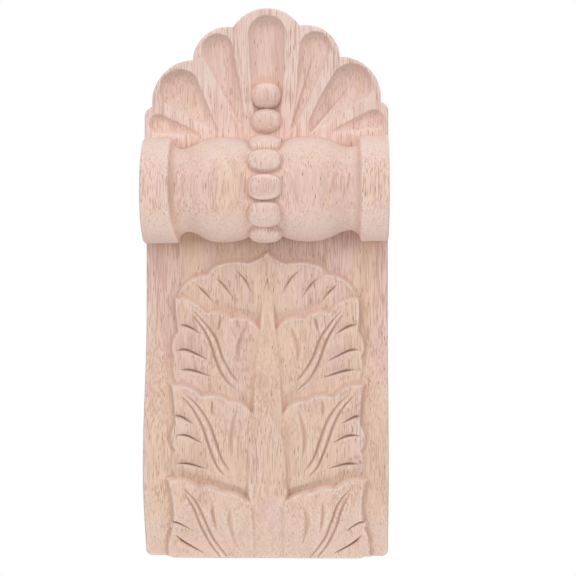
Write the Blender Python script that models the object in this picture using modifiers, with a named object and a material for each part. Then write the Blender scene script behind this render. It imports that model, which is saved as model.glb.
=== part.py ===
"""Carved wooden corbel: a fluted shell crest over a beaded scroll and a panel of acanthus leaves.

The whole corbel is cut from one block. +Z is up, +X is to the right of someone who looks at
the front, and the front faces -Y. The flat back lies in the plane Y = 0 with the origin at its
middle, where the corbel meets the wall. Lengths are in metres, written as millimetres times MM.
"""

import math

import bmesh
import bpy
from mathutils import Matrix, Vector

MM = 0.001

# Driving dimensions of the block.
WIDTH = 110 * MM
HEIGHT = 249 * MM
HALF_WIDTH = WIDTH / 2
TOP_Z = HEIGHT / 2
BOTTOM_Z = -HEIGHT / 2
CORNER_RADIUS = 3 * MM
SPILL = 4 * MM  # how far a tool solid runs past the block that it is trimmed to
WELD_DISTANCE = 0.01 * MM
FLAT_RISE = 0.05 * MM  # an arc that rises less than this is a straight line

# Side profile: how far the front stands off the wall at the neck, the belly and the toe.
NECK_Z = -12 * MM
NECK_DEPTH = 16 * MM
BELLY_Z = -82 * MM
BELLY_DEPTH = 32.4 * MM
TOE_Z = -145 * MM  # the curve aims at a toe below the cut-off bottom
TOE_DEPTH = 10.4 * MM
PROFILE_STEPS = 9

# Crest: a slab with a lobed top, and hollow flutes that run down to the scroll.
CREST_DEPTH = 24.5 * MM
FLUTE_FOOT_Z = 68.5 * MM
FLUTE_FLATNESS = 0.55  # depth of a flute over half its width
FLUTE_TAPER = 0.75
FLUTE_CAP_STEPS = 4
FLUTE_TAPER_STEPS = 4
FLUTE_STEPS = 20

# Scroll: a turned roll that lies across the block.
ROLL_Z = 42.7 * MM
ROLL_DEPTH = 24.5 * MM
COLLAR_RADIUS = 23.8 * MM
COLLAR_INNER_X = 41.2 * MM
COVE_X = 38 * MM
COVE_RADIUS = 18.7 * MM
BULGE_X = 19.5 * MM
BULGE_RADIUS = 23.7 * MM
WAIST_X = 6 * MM
WAIST_RADIUS = 20.2 * MM
ROLL_STEPS = 40
SWELL_STEPS = 9
COLLAR_STEP = 1.2 * MM  # the collar drops to the cove just inside its edge

# Beads: a row of oval beads round the waist of the scroll, and two more on the crest.
BEAD_RING_RADIUS = 20.9 * MM
BEAD_PITCH = math.radians(34)
BEADS_EACH_SIDE = 2
BEAD_HALF_WIDTH = 7.5 * MM
BEAD_HALF_HEIGHT = 5.6 * MM
BEAD_HALF_THICKNESS = 4.3 * MM
CREST_BEAD_ZS = (73.4 * MM, 85 * MM)
CREST_BEAD_HALF_WIDTH = 6.3 * MM
CREST_BEAD_HALF_THICKNESS = 5 * MM
BEAD_SEGMENTS = 16
BEAD_RINGS = 8

# Leaves: each stands tallest over the row below and sinks towards its own base.
LEAF_TALL = 3.2 * MM
LEAF_LOW = 1.2 * MM
SKIN_STEPS = 6
LEAF_ROOT_DEPTH = 6 * MM  # how deep a leaf's solid reaches into the block
STEM_TALL = 3.4 * MM
GROOVE_RADIUS = 0.85 * MM
GROOVE_END_SHARE = 0.45  # thickness of a groove's ends over the thickness of its middle
CUT_HALF_WIDTH = 0.9 * MM
CUT_HALF_DEPTH = 1.3 * MM
CUT_SEGMENTS = 8
CUT_RINGS = 6

# Half of the crest's outline: (distance from the centre line, height, rise of the arc that
# follows), from the apex down to the shoulder.
CREST_LOBES = (
    (15.0, 116.3, 5.2),
    (33.2, 101.9, 6.4),
    (51.6, 81.2, 1.0),
)
CREST_SHOULDER_Z = 76.5
CREST_TOP_RISE = 8.2

# Flutes to the right of the middle one: (foot x, end x, end height, end radius).
FLUTES = (
    (8.6, 21.7, 107.0, 6.9),
    (20.2, 39.9, 91.0, 7.6),
    (29.6, 49.3, 74.4, 3.2),
)
MIDDLE_FLUTE = (0.0, 0.0, 113.3, 8.0)

# Half of the top leaf, from its point down and out: (x, z, rise of the arc that follows).
TOP_LEAF = (
    (0.0, 16.4, -0.7),
    (9.0, 10.4, 0.9),
    (22.2, 9.6, 0.9),
    (27.7, 5.1, 2.8),
    (41.8, -5.6, 0.0),
    (38.0, -14.0, 0.0),
)
TOP_LEAF_TOP_Z = 20.0
TOP_LEAF_BASE_Z = -26.0
TOP_LEAF_CUTS = (
    ((14.6, 6.0), (7.2, -4.0)),
    ((23.2, 2.5), (16.0, -6.0)),
    ((32.0, -0.6), (24.8, -8.0)),
)

# Right-hand leaf of each row. Its outline runs from the stem along the scalloped upper edge
# to the tip, then down the outer edge: (x, z, rise of the arc that follows).
LEAF_ROWS = (
    {
        "outline": (
            (3.0, -20.5, 2.6), (16.3, -14.7, 1.7), (27.4, -12.2, 2.2), (42.6, -5.9, 0.4),
            (42.0, -21.5, 1.9), (43.6, -33.6, 1.0), (42.2, -44.0, 0.0), (38.0, -52.0, 0.0),
            (7.0, -60.0, 0.0),
        ),
        "outer_groove": ((34.4, -13.6), (30.2, -19.3), (26.3, -26.4), (23.1, -36.0), (13.8, -48.0)),
        "inner_groove": ((33.6, -12.6), (28.4, -17.6), (23.7, -24.5), (20.3, -33.9), (13.0, -44.3)),
        "cuts": (
            ((39.4, -18.9), (31.0, -22.5)),
            ((40.9, -30.1), (27.7, -34.3)),
            ((38.9, -38.8), (25.9, -41.8)),
            ((21.3, -15.4), (22.6, -21.0)),
            ((10.7, -20.4), (13.8, -34.4)),
        ),
    },
    {
        "outline": (
            (5.6, -58.9, 2.4), (16.9, -51.9, 1.5), (29.4, -49.5, 2.4), (44.4, -44.7, -0.5),
            (42.3, -62.7, 2.0), (42.6, -74.4, 1.4), (42.7, -85.5, 0.0), (38.0, -95.0, 0.0),
            (8.0, -99.0, 0.0),
        ),
        "outer_groove": ((38.6, -49.8), (33.6, -55.5), (29.3, -63.4), (26.3, -72.0), (18.8, -85.4)),
        "inner_groove": ((37.6, -48.5), (31.6, -54.1), (26.5, -61.5), (23.4, -69.7), (16.6, -83.3)),
        "cuts": (
            ((41.3, -58.7), (33.5, -62.1)),
            ((40.0, -67.6), (29.6, -70.7)),
            ((39.9, -80.5), (28.1, -82.0)),
            ((24.6, -53.0), (24.8, -58.8)),
            ((14.0, -57.0), (16.1, -75.5)),
        ),
    },
    {
        "outline": (
            (8.0, -96.0, 1.0), (19.9, -91.8, 1.4), (29.8, -90.4, 1.9), (45.5, -87.1, -1.0),
            (43.6, -105.8, 1.2), (46.0, -114.0, 0.6), (46.0, -130.0, 0.0), (8.0, -130.0, 0.0),
        ),
        "outer_groove": ((37.2, -92.8), (33.1, -100.0), (30.1, -109.2), (25.9, -118.4), (22.0, -123.0)),
        "inner_groove": ((37.0, -91.2), (31.7, -97.7), (28.2, -106.4), (24.9, -115.2), (19.0, -123.0)),
        "cuts": (
            ((44.4, -106.3), (35.4, -110.1)),
            ((42.0, -113.0), (29.6, -121.7)),
            ((24.6, -97.2), (23.3, -110.2)),
            ((16.7, -100.4), (15.4, -116.9)),
        ),
    },
)
ROW_TOP_ZS = (-5.0, -44.0, -86.0)
ROW_BASE_ZS = (-60.0, -99.0, -130.0)

# Half-width of the stem at each height, from its point down to the bottom.
STEM_SPREAD = (
    (0.0, 3.2),
    (2.5, -5.8),
    (5.6, -34.2),
    (7.2, -58.1),
    (9.3, -95.0),
    (9.6, -130.0),
)
STEM_TOP_Z = 6.0
STEM_BASE_Z = -131.0
SKIN_SPILL = 2.0  # how far a relief skin runs below the leaf that it shapes, in millimetres


def clear_scene():
    """Remove every object of the scene that the script starts from."""
    for old in list(bpy.data.objects):
        bpy.data.objects.remove(old, do_unlink=True)


def make_collection(name, parent):
    """Return a new collection under the given one."""
    collection = bpy.data.collections.new(name)
    parent.children.link(collection)
    return collection


def wood_material():
    """Pale unfinished rubberwood."""
    material = bpy.data.materials.new("rubberwood")
    material.use_nodes = True
    shader = material.node_tree.nodes["Principled BSDF"]
    shader.inputs["Base Color"].default_value = (0.72, 0.54, 0.44, 1.0)
    shader.inputs["Roughness"].default_value = 0.7
    shader.inputs["Metallic"].default_value = 0.0
    return material


def ease(t):
    """Smooth step from 0 to 1, as half a cosine wave."""
    t = min(max(t, 0.0), 1.0)
    return (1 - math.cos(math.pi * t)) / 2


def face_depth(z):
    """How far the panel's front stands off the wall at height z."""
    if z > BELLY_Z:
        return NECK_DEPTH + (BELLY_DEPTH - NECK_DEPTH) * ease((NECK_Z - z) / (NECK_Z - BELLY_Z))
    return BELLY_DEPTH + (TOE_DEPTH - BELLY_DEPTH) * ease((BELLY_Z - z) / (BELLY_Z - TOE_Z))


def arc(start, end, rise, steps=4):
    """Points from start up to, but not at, end, along an arc that bows out by rise."""
    start = Vector(start)
    end = Vector(end)
    chord = end - start
    if abs(rise) < FLAT_RISE:
        return [start]
    outward = Vector((-chord.y, chord.x)).normalized()
    radius = (chord.length ** 2 / 4 + rise ** 2) / (2 * abs(rise))
    centre = (start + end) / 2 + outward * (rise - math.copysign(radius, rise))
    first = start - centre
    sweep = -math.copysign(2 * math.asin(min(chord.length / 2 / radius, 1.0)), rise)
    return [centre + Matrix.Rotation(sweep * i / steps, 2) @ first for i in range(steps)]


def scalloped(corners, steps=4):
    """Outline in metres through corners given in millimetres as (x, z, rise to the next one)."""
    points = []
    for i, (x, z, rise) in enumerate(corners):
        next_x, next_z, _ = corners[(i + 1) % len(corners)]
        points += arc((x * MM, z * MM), (next_x * MM, next_z * MM), rise * MM, steps)
    return points


def mirrored_corners(corners):
    """The same corners on the other side of the centre line, in the order that closes the loop."""
    flipped = []
    for i in range(len(corners) - 1, -1, -1):
        x, z, _ = corners[i]
        rise = corners[i - 1][2] if i > 0 else 0.0
        flipped.append((-x, z, rise))
    return flipped


def tool(obj, collection):
    """Mark an object as a guide that is cut or joined and not shown itself."""
    for old in list(obj.users_collection):
        old.objects.unlink(obj)
    collection.objects.link(obj)
    obj.hide_render = True
    obj.display_type = "WIRE"
    return obj


def curve_as_mesh(curve_object, collection):
    """Turn a curve object into a closed mesh object and remove the curve."""
    bpy.context.view_layer.update()
    evaluated = curve_object.evaluated_get(bpy.context.evaluated_depsgraph_get())
    mesh = bpy.data.meshes.new_from_object(evaluated)
    weld(mesh)
    name = curve_object.name
    place = curve_object.matrix_world.copy()
    bpy.data.objects.remove(curve_object, do_unlink=True)
    solid = bpy.data.objects.new(name, mesh)
    solid.matrix_world = place
    collection.objects.link(solid)
    return tool(solid, collection)


def weld(mesh):
    """Join the loose caps of a mesh made from a curve."""
    edit = bmesh.new()
    edit.from_mesh(mesh)
    bmesh.ops.remove_doubles(edit, verts=edit.verts, dist=WELD_DISTANCE)
    bmesh.ops.recalc_face_normals(edit, faces=edit.faces)
    edit.to_mesh(mesh)
    edit.free()


def extruded(name, outline, thickness, matrix, collection):
    """A flat outline given thickness on both sides of its plane and set in place."""
    curve = bpy.data.curves.new(name, "CURVE")
    curve.dimensions = "2D"
    curve.fill_mode = "BOTH"
    curve.extrude = thickness / 2
    spline = curve.splines.new("POLY")
    spline.points.add(len(outline) - 1)
    for point, (x, y) in zip(spline.points, outline):
        point.co = (x, y, 0, 1)
    spline.use_cyclic_u = True
    obj = bpy.data.objects.new(name, curve)
    obj.matrix_world = matrix
    bpy.context.scene.collection.objects.link(obj)
    return curve_as_mesh(obj, collection)


def front_plate(name, outline, near, far, collection):
    """An outline seen from the front, solid from depth near to depth far off the wall."""
    stand_up = Matrix.Rotation(math.pi / 2, 4, "X")
    place = Matrix.Translation((0, -(near + far) / 2, 0))
    return extruded(name, outline, far - near, place @ stand_up, collection)


def side_slab(name, profile, collection):
    """A side profile of (depth off the wall, height) points, extruded across the block."""
    outline = [(-depth, z) for depth, z in profile]
    across = Matrix(((0, 0, 1, 0), (1, 0, 0, 0), (0, 1, 0, 0), (0, 0, 0, 1)))
    return extruded(name, outline, WIDTH + 2 * SPILL, across, collection)


def boolean(target, operation, operand):
    """Join, cut or trim the target with an object or with all of a collection."""
    step = target.modifiers.new(operation.lower(), "BOOLEAN")
    step.operation = operation
    step.solver = "EXACT"
    if isinstance(operand, bpy.types.Collection):
        step.operand_type = "COLLECTION"
        step.collection = operand
    else:
        step.object = operand


def turned(name, profile, steps, collection):
    """A profile of (radius, height) points from top to bottom, turned about Z by a screw."""
    mesh = bpy.data.meshes.new(name)
    edges = [(i, i + 1) for i in range(len(profile) - 1)]
    mesh.from_pydata([(radius, 0, z) for radius, z in profile], edges, [])
    obj = bpy.data.objects.new(name, mesh)
    collection.objects.link(obj)
    screw = obj.modifiers.new("turn", "SCREW")
    screw.axis = "Z"
    screw.steps = steps
    screw.render_steps = steps
    screw.use_merge_vertices = True
    screw.merge_threshold = WELD_DISTANCE
    return tool(obj, collection)


def ellipsoid(name, half_sizes, matrix, collection, segments=BEAD_SEGMENTS, rings=BEAD_RINGS):
    """A round pip with the three half sizes, set in place by the matrix."""
    bpy.ops.mesh.primitive_uv_sphere_add(segments=segments, ring_count=rings, radius=1)
    obj = bpy.context.active_object
    obj.name = name
    obj.matrix_world = matrix @ Matrix.Diagonal((*half_sizes, 1))
    return tool(obj, collection)


def block_profile():
    """Side profile of the block: flat back, S-shaped panel, neck, and the thicker crest slab."""
    low = BOTTOM_Z - SPILL
    panel = []
    for i in range(PROFILE_STEPS):
        z = low + (BELLY_Z - low) * i / PROFILE_STEPS
        panel.append((face_depth(z), z))
    for i in range(PROFILE_STEPS + 1):
        z = BELLY_Z + (NECK_Z - BELLY_Z) * i / PROFILE_STEPS
        panel.append((face_depth(z), z))
    crest = [(NECK_DEPTH, ROLL_Z), (CREST_DEPTH, ROLL_Z), (CREST_DEPTH, TOP_Z + SPILL)]
    return [(0, TOP_Z + SPILL), (0, low)] + panel + crest


def block_outline():
    """Front outline: the lobed crest, straight sides and small rounded bottom corners."""
    side = HALF_WIDTH / MM
    low = BOTTOM_Z / MM
    radius = CORNER_RADIUS / MM
    corner_rise = radius * (1 - math.sqrt(0.5))
    first_x, first_z, _ = CREST_LOBES[0]
    right = list(CREST_LOBES) + [
        (side, CREST_SHOULDER_Z, 0.0),
        (side, low + radius, corner_rise),
        (side - radius, low, 0.0),
    ]
    left = mirrored_corners(right)
    left[-1] = (-first_x, first_z, CREST_TOP_RISE)
    return scalloped(right + left, steps=8)


def roll_radius(x):
    """Radius of the scroll at distance x from the middle."""
    x = abs(x)
    if x >= COLLAR_INNER_X:
        return COLLAR_RADIUS
    if x >= COVE_X:
        return COVE_RADIUS
    if x >= BULGE_X:
        return COVE_RADIUS + (BULGE_RADIUS - COVE_RADIUS) * ease((COVE_X - x) / (COVE_X - BULGE_X))
    return WAIST_RADIUS + (BULGE_RADIUS - WAIST_RADIUS) * ease((x - WAIST_X) / (BULGE_X - WAIST_X))


def make_roll(collection):
    """The turned scroll: collars at the ends, coves, two bulges and a waist for the beads."""
    end = HALF_WIDTH + SPILL
    swell = [COVE_X + (WAIST_X - COVE_X) * i / SWELL_STEPS for i in range(SWELL_STEPS + 1)]
    right = [end, COLLAR_INNER_X, COVE_X + COLLAR_STEP] + swell
    profile = [(0, end)] + [(roll_radius(x), x) for x in right]
    profile += [(radius, -x) for radius, x in reversed(profile)]
    roll = turned("roll", profile, ROLL_STEPS, collection)
    lay_across = Matrix.Rotation(math.pi / 2, 4, "Y")
    roll.matrix_world = Matrix.Translation((0, -ROLL_DEPTH, ROLL_Z)) @ lay_across
    return roll


def make_beads(collection):
    """Oval beads round the waist of the scroll, and round ones on the crest."""
    axis = Matrix.Translation((0, -ROLL_DEPTH, ROLL_Z))
    out = Matrix.Translation((0, -BEAD_RING_RADIUS, 0))
    sizes = (BEAD_HALF_WIDTH, BEAD_HALF_THICKNESS, BEAD_HALF_HEIGHT)
    for i in range(-BEADS_EACH_SIDE, BEADS_EACH_SIDE + 1):
        turn = Matrix.Rotation(i * BEAD_PITCH, 4, "X")
        ellipsoid(f"roll_bead_{i + BEADS_EACH_SIDE}", sizes, axis @ turn @ out, collection)
    sizes = (CREST_BEAD_HALF_WIDTH, CREST_BEAD_HALF_THICKNESS, BEAD_HALF_HEIGHT)
    for i, z in enumerate(CREST_BEAD_ZS):
        place = Matrix.Translation((0, -CREST_DEPTH, z))
        ellipsoid(f"crest_bead_{i}", sizes, place, collection)


def make_flute(name, foot_x, end_x, end_z, end_radius, collection):
    """A hollow that starts as a point at the scroll, widens upwards and ends round."""
    foot = Vector((foot_x * MM, -CREST_DEPTH, FLUTE_FOOT_Z))
    end = Vector((end_x * MM, -CREST_DEPTH, end_z * MM))
    length = (end - foot).length
    radius = end_radius * MM
    cap = []
    for i in range(FLUTE_CAP_STEPS):
        angle = math.pi / 2 * i / FLUTE_CAP_STEPS
        cap.append((radius * math.sin(angle), length + radius * math.cos(angle)))
    taper = []
    for i in range(FLUTE_TAPER_STEPS + 1):
        share = 1 - i / FLUTE_TAPER_STEPS
        taper.append((radius * share ** FLUTE_TAPER, length * share))
    flute = turned(name, cap + taper, FLUTE_STEPS, collection)
    lean = math.atan2(end.x - foot.x, end.z - foot.z)
    flatten = Matrix.Diagonal((1, FLUTE_FLATNESS, 1, 1))
    flute.matrix_world = Matrix.Translation(foot) @ Matrix.Rotation(lean, 4, "Y") @ flatten


def make_flutes(collection):
    """The seven flutes of the shell."""
    make_flute("flute_middle", *MIDDLE_FLUTE, collection)
    for i, (foot_x, end_x, end_z, end_radius) in enumerate(FLUTES):
        for side, word in ((1, "right"), (-1, "left")):
            make_flute(f"flute_{word}_{i}", side * foot_x, side * end_x, end_z, end_radius, collection)


def relief_skin(name, top_z, base_z, tall, low, collection):
    """A slab whose front follows the panel, raised by tall at top_z and by low at base_z."""
    front = []
    back = []
    for i in range(SKIN_STEPS + 1):
        share = i / SKIN_STEPS
        z = (base_z + (top_z - base_z) * share) * MM
        rise = low + (tall - low) * share
        front.append((face_depth(z) + rise, z))
        back.append((face_depth(z) - LEAF_ROOT_DEPTH, z))
    return side_slab(name, front + back[::-1], collection)


def raised_leaf(name, outline, skin, carving):
    """A leaf: the relief skin trimmed to the leaf's outline."""
    leaf = front_plate(name, outline, 0, BELLY_DEPTH + 2 * LEAF_ROOT_DEPTH, carving)
    boolean(leaf, "INTERSECT", skin)
    return leaf


def make_leaves(carving, skins):
    """The top leaf, the stem and three rows of paired leaves."""
    skin = relief_skin("skin_top", TOP_LEAF_TOP_Z, TOP_LEAF_BASE_Z - SKIN_SPILL, LEAF_TALL, LEAF_LOW, skins)
    right = list(TOP_LEAF) + [(0.0, TOP_LEAF_BASE_Z, 0.0)]
    raised_leaf("top_leaf", scalloped(right + mirrored_corners(right)[1:-1]), skin, carving)

    skin = relief_skin("skin_stem", STEM_TOP_Z, STEM_BASE_Z, STEM_TALL, LEAF_LOW, skins)
    right = [(x * MM, z * MM) for x, z in STEM_SPREAD]
    left = [(-x, z) for x, z in right[:0:-1]]
    raised_leaf("stem", right + left, skin, carving)

    for i, row in enumerate(LEAF_ROWS):
        top_z = ROW_TOP_ZS[i]
        base_z = ROW_BASE_ZS[i]
        skin = relief_skin(f"skin_row_{i}", top_z, base_z - SKIN_SPILL, LEAF_TALL, LEAF_LOW, skins)
        raised_leaf(f"leaf_right_{i}", scalloped(row["outline"]), skin, carving)
        flipped = scalloped(mirrored_corners(row["outline"]))
        raised_leaf(f"leaf_left_{i}", flipped, skin, carving)


def leaf_surface(x, z, top_z, base_z):
    """Point on the raised surface of a leaf, in metres, from millimetres."""
    share = (z - base_z) / (top_z - base_z)
    rise = LEAF_LOW + (LEAF_TALL - LEAF_LOW) * min(max(share, 0), 1)
    return Vector((x * MM, -face_depth(z * MM) - rise, z * MM))


def make_groove(name, points, hollows):
    """A gouged line along the points, tapered at both ends."""
    curve = bpy.data.curves.new(name, "CURVE")
    curve.dimensions = "3D"
    curve.bevel_depth = GROOVE_RADIUS
    curve.bevel_resolution = 1
    curve.use_fill_caps = True
    spline = curve.splines.new("POLY")
    spline.points.add(len(points) - 1)
    for i, (point, place) in enumerate(zip(spline.points, points)):
        point.co = (*place, 1)
        point.radius = GROOVE_END_SHARE if i in (0, len(points) - 1) else 1.0
    obj = bpy.data.objects.new(name, curve)
    bpy.context.scene.collection.objects.link(obj)
    return curve_as_mesh(obj, hollows)


def make_cut(name, start, end, hollows):
    """A short gouge from start to end, shaped like a grain of rice."""
    along = (end - start).normalized()
    outward = Vector((0, -1, 0))
    across = along.cross(outward).normalized()
    outward = across.cross(along)
    turn = Matrix((along, across, outward)).transposed().to_4x4()
    sizes = ((end - start).length / 2, CUT_HALF_WIDTH, CUT_HALF_DEPTH)
    place = Matrix.Translation((start + end) / 2) @ turn
    return ellipsoid(name, sizes, place, hollows, segments=CUT_SEGMENTS, rings=CUT_RINGS)


def make_veins(hollows):
    """Twin grooves up the middle of each leaf and the short gouges between its lobes."""
    for side, word in ((1, "right"), (-1, "left")):
        for i, row in enumerate(LEAF_ROWS):
            span = (ROW_TOP_ZS[i], ROW_BASE_ZS[i])
            for line in ("outer_groove", "inner_groove"):
                points = [leaf_surface(side * x, z, *span) for x, z in row[line]]
                make_groove(f"{line}_{word}_{i}", points, hollows)
            for j, (start, end) in enumerate(row["cuts"]):
                ends = [leaf_surface(side * x, z, *span) for x, z in (start, end)]
                make_cut(f"cut_{word}_{i}_{j}", *ends, hollows)
        span = (TOP_LEAF_TOP_Z, TOP_LEAF_BASE_Z)
        for j, (start, end) in enumerate(TOP_LEAF_CUTS):
            ends = [leaf_surface(side * x, z, *span) for x, z in (start, end)]
            make_cut(f"top_cut_{word}_{j}", *ends, hollows)


def make_corbel():
    """Build the corbel: join the raised work to the block, cut the hollows, trim to the outline."""
    clear_scene()
    scene = bpy.context.scene.collection
    corbel_collection = make_collection("corbel", scene)
    tools = make_collection("tools", scene)
    carving = make_collection("raised_work", tools)
    hollows = make_collection("hollows", tools)

    corbel = side_slab("carved_corbel", block_profile(), tools)
    roll = make_roll(tools)
    make_beads(carving)
    make_leaves(carving, tools)
    make_flutes(hollows)
    make_veins(hollows)
    deepest = ROLL_DEPTH + COLLAR_RADIUS + SPILL
    outline = front_plate("outline", block_outline(), -SPILL, deepest, tools)

    boolean(corbel, "UNION", roll)
    boolean(corbel, "UNION", carving)
    boolean(corbel, "DIFFERENCE", hollows)
    boolean(corbel, "INTERSECT", outline)

    tools.objects.unlink(corbel)
    corbel_collection.objects.link(corbel)
    corbel.hide_render = False
    corbel.display_type = "TEXTURED"
    corbel.data.materials.append(wood_material())


make_corbel()
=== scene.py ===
# %% [markdown]
# A carved wooden corbel, dressed for its picture
#
# The real thing is one block of pale rubberwood. A shell with seven flutes stands at the top, a
# roll with a row of beads lies across the block below it, and acanthus leaves climb the panel
# in three rows beside a stem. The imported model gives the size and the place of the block. This
# file carves the fine surface, makes the wood, and sets up a plain studio.

# %% Load the frame
import math

import bmesh
import bpy
import numpy as np
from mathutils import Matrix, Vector


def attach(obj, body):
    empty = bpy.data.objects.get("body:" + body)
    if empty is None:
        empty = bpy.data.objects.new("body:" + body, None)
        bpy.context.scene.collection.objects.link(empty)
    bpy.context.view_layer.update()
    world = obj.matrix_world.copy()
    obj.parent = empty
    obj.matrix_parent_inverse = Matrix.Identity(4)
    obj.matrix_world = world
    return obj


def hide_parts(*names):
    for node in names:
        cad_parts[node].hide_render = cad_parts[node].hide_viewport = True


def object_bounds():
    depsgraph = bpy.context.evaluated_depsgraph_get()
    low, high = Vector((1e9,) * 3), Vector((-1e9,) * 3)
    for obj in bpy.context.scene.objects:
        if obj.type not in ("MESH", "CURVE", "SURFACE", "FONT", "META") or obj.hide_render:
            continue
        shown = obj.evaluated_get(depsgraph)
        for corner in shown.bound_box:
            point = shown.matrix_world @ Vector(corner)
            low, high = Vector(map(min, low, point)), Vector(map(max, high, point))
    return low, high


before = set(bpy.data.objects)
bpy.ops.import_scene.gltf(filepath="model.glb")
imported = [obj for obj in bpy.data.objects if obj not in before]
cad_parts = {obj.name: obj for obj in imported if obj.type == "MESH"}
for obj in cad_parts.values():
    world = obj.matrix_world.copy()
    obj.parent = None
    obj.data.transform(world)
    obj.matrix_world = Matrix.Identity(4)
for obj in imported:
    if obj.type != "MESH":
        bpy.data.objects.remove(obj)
cad_low, cad_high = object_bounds()
print("block from", tuple(cad_low), "to", tuple(cad_high))

# %% [markdown]
# Sizes of the block
#
# A carver thinks in millimetres, so the shapes below are worked out in millimetres and turned
# into metres at the very end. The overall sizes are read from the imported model. x runs to the
# right, z runs up, and depth is how far the wood stands off the wall, so y is minus the depth.

# %% Sizes of the block
MM = 0.001
HALF_WIDTH = cad_high.x / MM
TOP_Z = cad_high.z / MM
BOTTOM_Z = cad_low.z / MM
MOST_DEPTH = -cad_low.y / MM
SPILL = 3.0  # how far the carved sheet runs past the block before it is trimmed

NECK_Z = -12.0
NECK_DEPTH = 16.0
BELLY_Z = -82.0
BELLY_DEPTH = 32.4
TOE_Z = -145.0
TOE_DEPTH = 10.4

SHELL_DEPTH = 24.5
ROLL_Z = 42.7
ROLL_DEPTH = 24.5
print("half width", round(HALF_WIDTH, 2), "top", round(TOP_Z, 2), "deepest", round(MOST_DEPTH, 2))

# %% [markdown]
# The side profile
#
# Seen from the side, the panel is an S: thin at the neck under the roll, full at the belly and
# thin again at the toe. Half a cosine wave between two levels has no corner at either end, so
# two of them, one above the other, make the whole curve.


# %% The side profile
def ease(t):
    """Smooth step from 0 to 1, as half a cosine wave."""
    return (1 - np.cos(np.pi * np.clip(t, 0, 1))) / 2


def face_depth(z):
    """Depth of the plain panel at each height."""
    upper = NECK_DEPTH + (BELLY_DEPTH - NECK_DEPTH) * ease((NECK_Z - z) / (NECK_Z - BELLY_Z))
    lower = BELLY_DEPTH + (TOE_DEPTH - BELLY_DEPTH) * ease((BELLY_Z - z) / (BELLY_Z - TOE_Z))
    return np.where(z > BELLY_Z, upper, lower)


def round_over(inside, radius):
    """Drop of an edge rounded to the radius, at each distance inside the edge."""
    short = np.clip(radius - inside, 0, radius)
    return radius - np.sqrt(radius ** 2 - short ** 2)


# %% [markdown]
# Outlines from arcs
#
# Shells and leaves have scalloped edges: one arc after another between sharp notches. Each
# outline below is a short list of notches with the rise of the arc that follows each, and this
# cell turns such a list into a smooth line. It also measures how far inside an outline a point
# lies, which is what gives an edge its rounding and the ground its small ditch.

# %% Outlines from arcs
STRAIGHT_RISE = 0.05  # an arc that rises less than this is left straight
FAR_AWAY = 1e9


def arc(start, end, rise, steps):
    """Points from start up to, but not at, end, along an arc that bows out by rise."""
    start = np.array(start, float)
    end = np.array(end, float)
    chord = end - start
    length = np.hypot(*chord)
    if abs(rise) < STRAIGHT_RISE:
        return [start]
    outward = np.array((-chord[1], chord[0])) / length
    radius = (length ** 2 / 4 + rise ** 2) / (2 * abs(rise))
    centre = (start + end) / 2 + outward * (rise - math.copysign(radius, rise))
    first = start - centre
    sweep = -math.copysign(2 * math.asin(min(length / 2 / radius, 1)), rise)
    points = []
    for i in range(steps):
        angle = sweep * i / steps
        turned = (first[0] * math.cos(angle) - first[1] * math.sin(angle),
                  first[0] * math.sin(angle) + first[1] * math.cos(angle))
        points.append(centre + turned)
    return points


def scalloped(corners, steps=7):
    """A closed outline through corners given as (x, z, rise of the arc to the next one)."""
    points = []
    for i, (x, z, rise) in enumerate(corners):
        next_x, next_z, _ = corners[(i + 1) % len(corners)]
        points += arc((x, z), (next_x, next_z), rise, steps)
    return np.array(points)


def inside_distance(x, z, outline):
    """How far each point lies inside a closed outline; negative outside it."""
    nearest = np.full(x.shape, FAR_AWAY)
    inside = np.zeros(x.shape, bool)
    for (ax, az), (bx, bz) in zip(outline, np.roll(outline, -1, axis=0)):
        run_x = bx - ax
        run_z = bz - az
        share = ((x - ax) * run_x + (z - az) * run_z) / (run_x ** 2 + run_z ** 2)
        share = np.clip(share, 0, 1)
        nearest = np.minimum(nearest, np.hypot(x - ax - share * run_x, z - az - share * run_z))
        if az != bz:
            crosses = (az > z) != (bz > z)
            inside ^= crosses & (x < ax + run_x * (z - az) / run_z)
    return np.where(inside, nearest, -nearest)


def smooth_line(points, steps=5):
    """A smooth line through a few points, as a Catmull-Rom curve."""
    points = np.array(points, float)
    padded = np.vstack([2 * points[0] - points[1], points, 2 * points[-1] - points[-2]])
    line = []
    for i in range(len(points) - 1):
        a, b, c, d = padded[i:i + 4]
        for t in np.arange(steps) / steps:
            line.append(0.5 * (2 * b + (c - a) * t + (2 * a - 5 * b + 4 * c - d) * t ** 2
                               + (3 * b - 3 * c + d - a) * t ** 3))
    line.append(points[-1])
    return np.array(line)


def line_distance(x, z, line):
    """Distance of each point from a line, and how far along the line its nearest place is."""
    nearest = np.full(x.shape, FAR_AWAY)
    along = np.zeros(x.shape)
    pieces = len(line) - 1
    for i in range(pieces):
        ax, az = line[i]
        run_x, run_z = line[i + 1] - line[i]
        share = ((x - ax) * run_x + (z - az) * run_z) / (run_x ** 2 + run_z ** 2)
        share = np.clip(share, 0, 1)
        distance = np.hypot(x - ax - share * run_x, z - az - share * run_z)
        along = np.where(distance < nearest, (i + share) / pieces, along)
        nearest = np.minimum(nearest, distance)
    return nearest, along


# %% [markdown]
# The roll
#
# The roll looks turned: a plain collar at each end, a quarter-round cove beside it, a broad
# bulge, and a waist in the middle where the beads sit. A lathe shape could be spun from its
# profile, but this one grows out of the panel and the shell, so its radius is worked out along x
# and laid on the same grid as they are. The hand shows in two places: the roll lies a hair out
# of level, and the left collar's inner edge slants a little, so there the radius changes with
# the angle too.

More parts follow.
